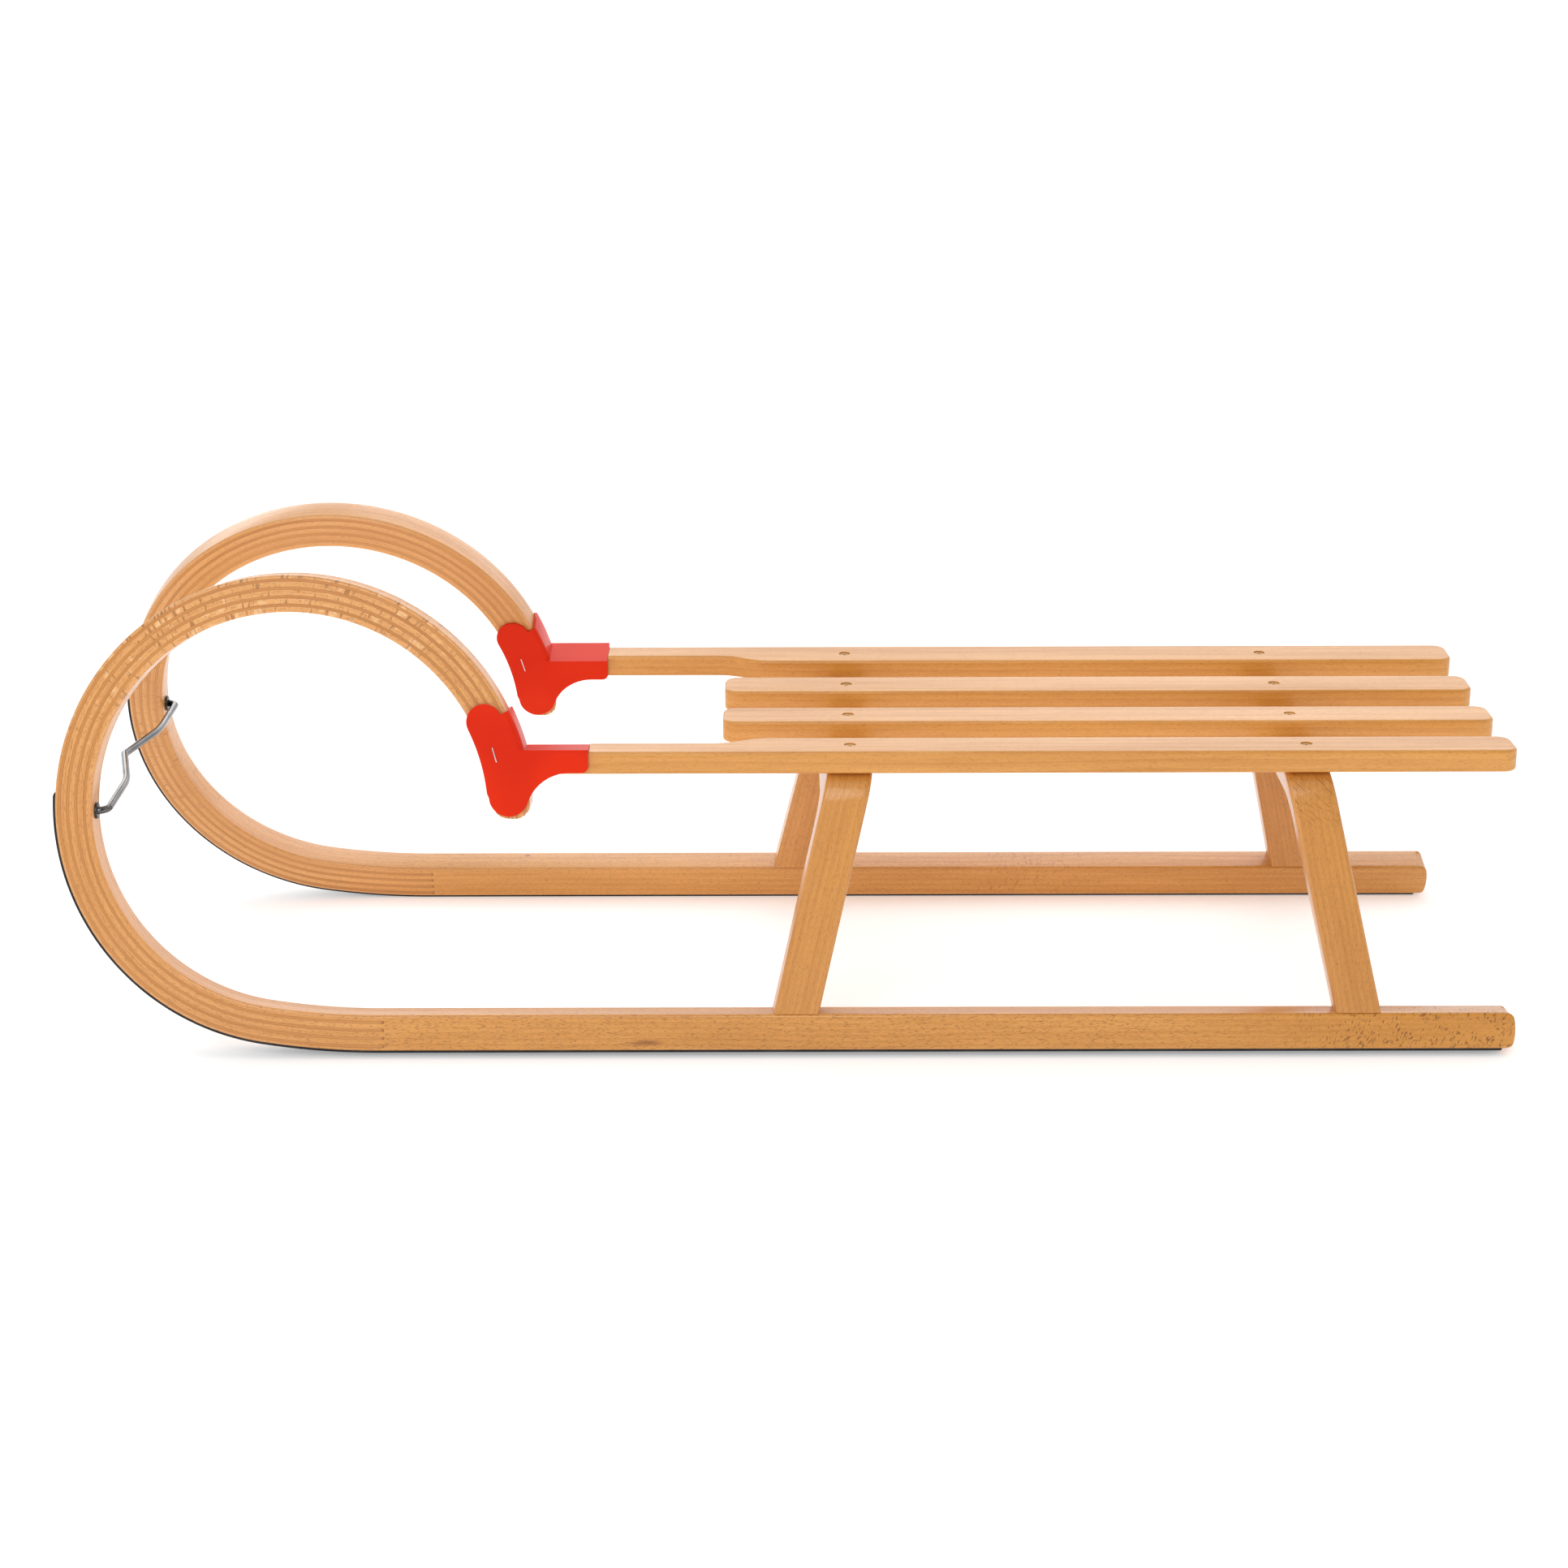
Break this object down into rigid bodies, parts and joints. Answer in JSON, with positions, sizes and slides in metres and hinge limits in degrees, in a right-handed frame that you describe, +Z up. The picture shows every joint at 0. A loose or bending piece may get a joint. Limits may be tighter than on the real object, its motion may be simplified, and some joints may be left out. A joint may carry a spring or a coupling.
{
  "type": "horn sled",
  "caption": "Wooden horn sled: bent runners that curl up into horns, bridges, a slatted seat, plastic horn caps, steel shoes and a draw bar; a line pulls it over snow.",
  "frame": {"origin": "middle of the footprint, on the ground that the shoes stand on", "axes": "+X forward to the horns, +Y to the left, +Z up"},
  "size_m": [1.1499, 0.3792, 0.3768],
  "materials": {
    "beech": "clear lacquered beech",
    "veneer": "darker glued veneer, lacquered",
    "shoe_steel": "black steel strip",
    "bar_steel": "bright drawn steel",
    "washer_steel": "black washer",
    "red_plastic": "satin moulded red plastic"
  },
  "bodies": {
    "root": {"bridge_front": "beech", "bridge_rear": "beech", "draw_bar": "bar_steel", "draw_bar_washer_left": "washer_steel", "draw_bar_washer_right": "washer_steel", "horn_cap_left": "red_plastic", "horn_cap_right": "red_plastic", "inner_slat_left": "beech", "inner_slat_right": "beech", "kerf_veneer_1_left": "veneer", "kerf_veneer_1_right": "veneer", "kerf_veneer_2_left": "veneer", "kerf_veneer_2_right": "veneer", "kerf_veneer_3_left": "veneer", "kerf_veneer_3_right": "veneer", "kerf_veneer_4_left": "veneer", "kerf_veneer_4_right": "veneer", "outer_slat_left": "beech", "outer_slat_right": "beech", "runner_left": "beech", "runner_right": "beech", "runner_shoe_left": "shoe_steel", "runner_shoe_right": "shoe_steel"}
  },
  "joints": []
}
